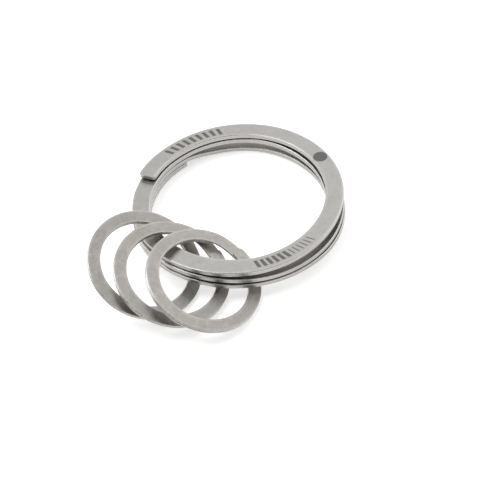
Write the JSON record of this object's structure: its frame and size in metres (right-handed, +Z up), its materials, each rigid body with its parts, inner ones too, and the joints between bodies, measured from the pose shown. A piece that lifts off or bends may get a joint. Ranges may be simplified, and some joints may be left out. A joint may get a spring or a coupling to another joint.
{
  "type": "split key ring",
  "caption": "Flat-strip steel key ring wound in wave-shaped turns with a free tip that lifts, threaded through flat split rings of two turns each.",
  "frame": {"origin": "centre of the bounding box in plan, at the height of the surface that the object lies on", "axes": "+Z up off the surface the object lies on; +X towards the large ring's right side and +Y towards its far side, with the small rings at the front left"},
  "size_m": [0.0416, 0.0432, 0.0092],
  "materials": {
    "large_ring_steel": "satin tumbled stainless steel with brighter rounded edges",
    "small_ring_steel": "satin stainless steel, slightly mottled from tumbling"
  },
  "bodies": {
    "large_ring": {"large_ring_coil": "large_ring_steel"},
    "tip": {"large_ring_tip": "large_ring_steel"},
    "ring_right": {"small_ring_right": "small_ring_steel"},
    "ring_middle": {"small_ring_middle": "small_ring_steel"},
    "ring_left": {"small_ring_left": "small_ring_steel"}
  },
  "joints": [
    {"name": "tip_lift", "type": "hinge", "parent": "large_ring", "child": "tip", "pos_m": [0.00584, 0.01994, 0.00339], "axis": [0.174, 0.9837, -0.046], "range_deg": [0, 10], "stiffness_Nm_per_rad": 0.02, "springref_deg": -5.73},
    {"name": "ring_right_slide", "type": "hinge", "parent": "large_ring", "child": "ring_right", "pos_m": [0.00305, 0.00417, 0.00457], "axis": [-0.0068, 0.0479, 0.9988], "range_deg": [-12, 2]},
    {"name": "ring_middle_slide", "type": "hinge", "parent": "ring_right", "child": "ring_middle", "pos_m": [0.00305, 0.00417, 0.00457], "axis": [-0.0068, 0.0479, 0.9988], "range_deg": [-8, 3]},
    {"name": "ring_left_slide", "type": "hinge", "parent": "ring_middle", "child": "ring_left", "pos_m": [0.00305, 0.00417, 0.00457], "axis": [-0.0068, 0.0479, 0.9988], "range_deg": [-10, 0]}
  ]
}
